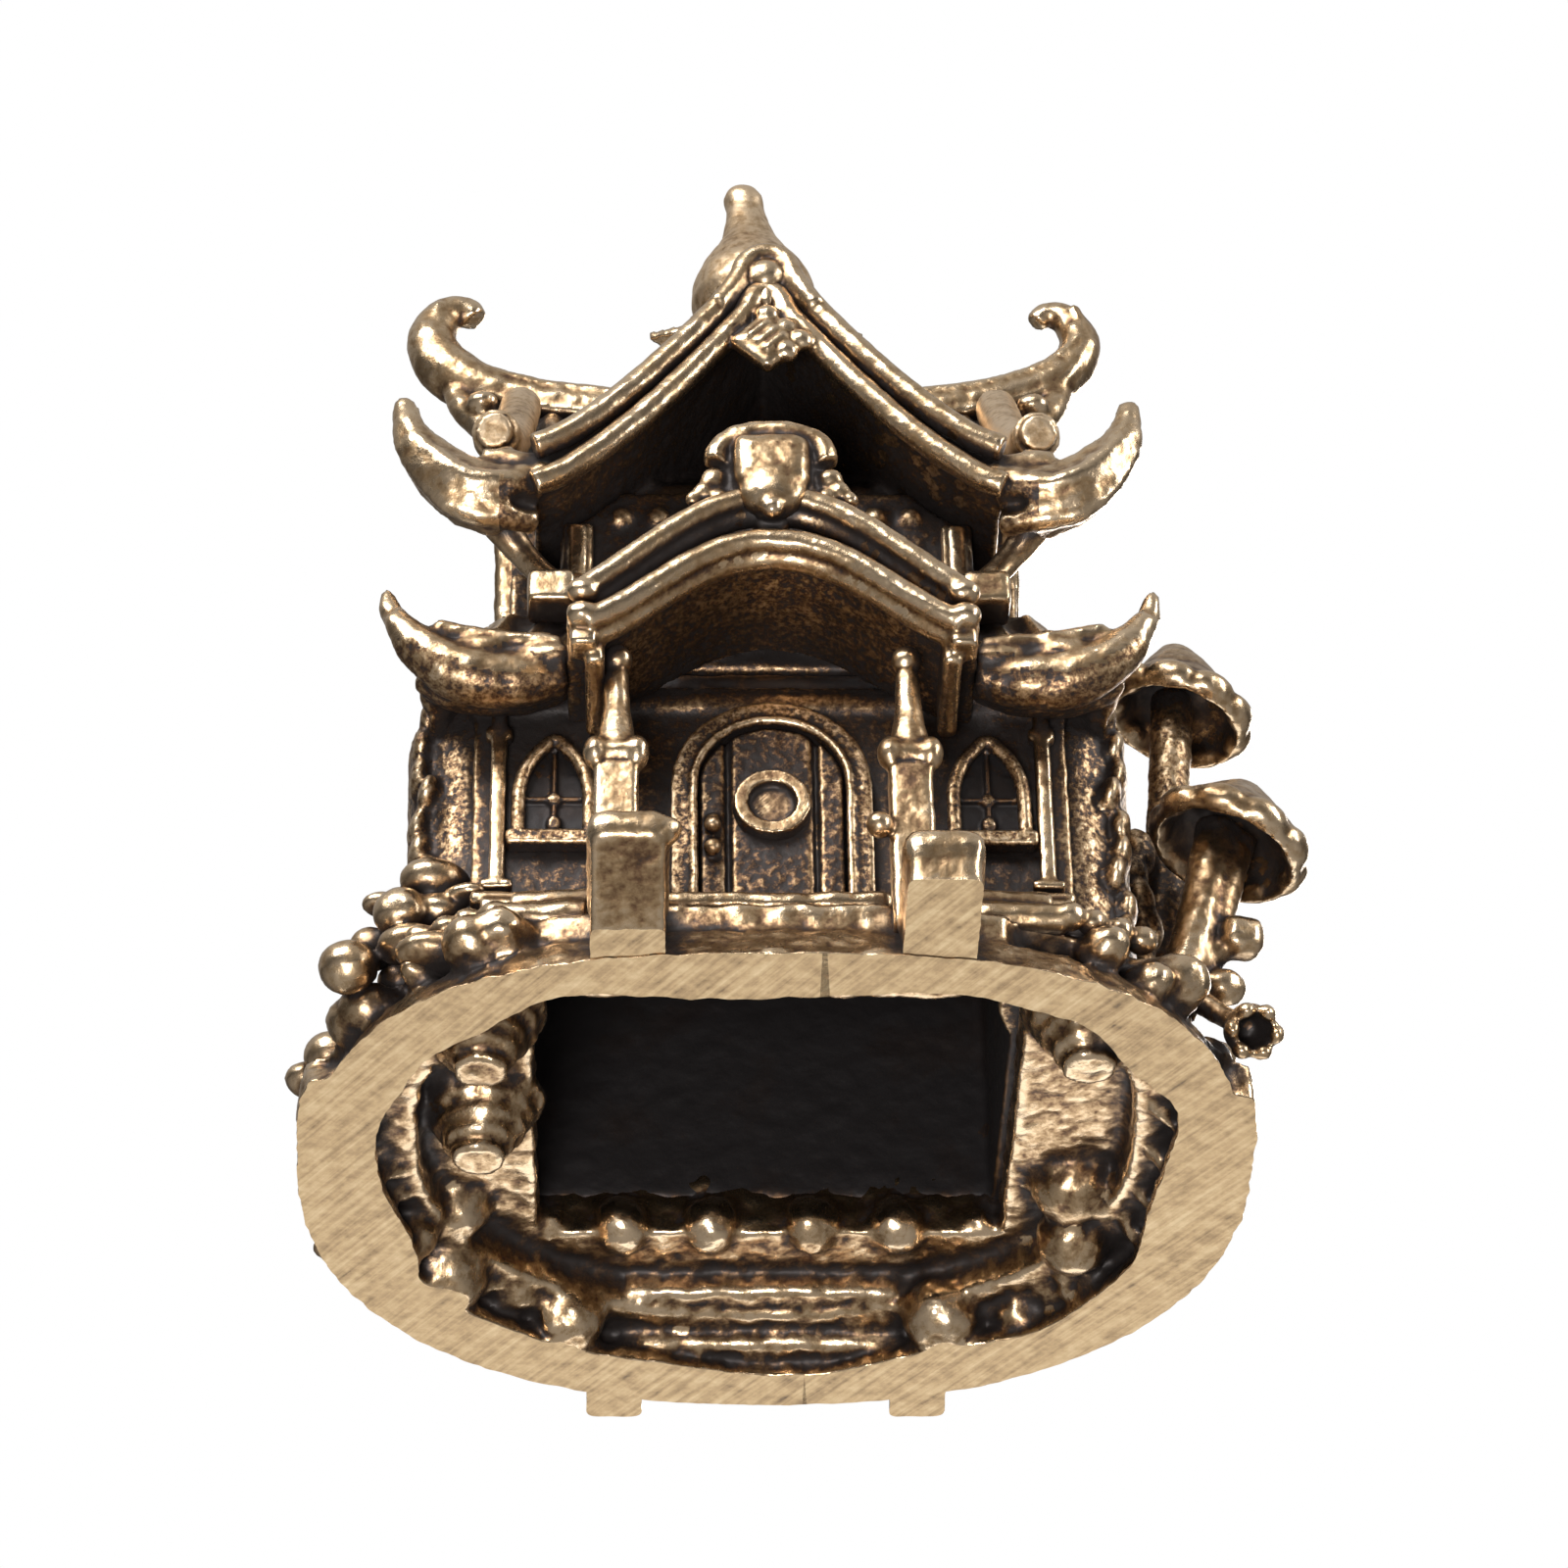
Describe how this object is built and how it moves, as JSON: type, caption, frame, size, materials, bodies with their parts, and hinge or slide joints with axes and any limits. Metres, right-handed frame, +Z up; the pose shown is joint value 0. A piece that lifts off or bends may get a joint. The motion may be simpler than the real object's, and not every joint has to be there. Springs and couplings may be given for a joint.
{
  "type": "cast brass pavilion miniature",
  "caption": "Small hollow cast-brass garden pavilion with two upturned roofs, a porch and mushrooms, open underneath and standing on its sawn rim.",
  "frame": {"origin": "centre of the bounding box's underside, in the plane of the sawn rim", "axes": "+Z up, -Y the front with the porch and stair posts, +X the mushroom side"},
  "size_m": [0.0384, 0.0378, 0.0503],
  "materials": {
    "rubbed_brass": "cast, blackened and rubbed bright on the high parts",
    "darkened_brass": "cast, sandy, chemically darkened",
    "sawn_brass": "sawn and belt-ground flat, fine diagonal lines"
  },
  "bodies": {
    "root": {"base_shell": "sawn_brass", "lower_terrace": "darkened_brass", "upper_terrace": "darkened_brass", "newel_left": "rubbed_brass", "rear_foot_left": "rubbed_brass", "newel_right": "rubbed_brass", "rear_foot_right": "rubbed_brass", "boulder_left_front": "rubbed_brass", "boulder_left": "rubbed_brass", "boulder_rear_left": "rubbed_brass", "boulder_right_rear": "rubbed_brass", "dressed_stone_left": "rubbed_brass", "dressed_stone_right": "rubbed_brass", "lower_wall": "darkened_brass", "storey_floor": "darkened_brass", "front_door_frame": "rubbed_brass", "front_door": "darkened_brass", "front_door_window": "rubbed_brass", "window_left": "rubbed_brass", "window_right": "rubbed_brass", "rear_door_frame": "rubbed_brass", "rear_door": "darkened_brass", "rear_door_window": "rubbed_brass", "sill_left": "rubbed_brass", "pilaster_left": "rubbed_brass", "side_bay_left": "darkened_brass", "sill_right": "rubbed_brass", "pilaster_right": "rubbed_brass", "side_bay_right": "darkened_brass", "porch_roof": "darkened_brass", "porch_rake_upper": "rubbed_brass", "porch_rake_lower": "rubbed_brass", "porch_ridge": "rubbed_brass", "column_left": "rubbed_brass", "column_right": "rubbed_brass", "lower_roof": "rubbed_brass", "upper_wall": "darkened_brass", "upper_pilaster_left": "rubbed_brass", "upper_pilaster_right": "rubbed_brass", "corner_post_front_left": "rubbed_brass", "corner_post_front_right": "rubbed_brass", "corner_post_rear_left": "rubbed_brass", "corner_post_rear_right": "rubbed_brass", "upper_roof": "rubbed_brass", "front_gable_rake_upper": "rubbed_brass", "front_gable_rake_lower": "rubbed_brass", "rear_gable_rake_upper": "rubbed_brass", "rear_gable_rake_lower": "rubbed_brass", "main_ridge": "rubbed_brass", "hip_front_left": "rubbed_brass", "hip_front_right": "rubbed_brass", "hip_rear_left": "rubbed_brass", "hip_rear_right": "rubbed_brass", "lotus_seat": "rubbed_brass", "gourd_finial": "rubbed_brass", "mushroom_cap_tall": "rubbed_brass", "mushroom_stem_tall": "rubbed_brass", "mushroom_cap_short": "rubbed_brass", "mushroom_stem_short": "rubbed_brass"}
  },
  "joints": []
}
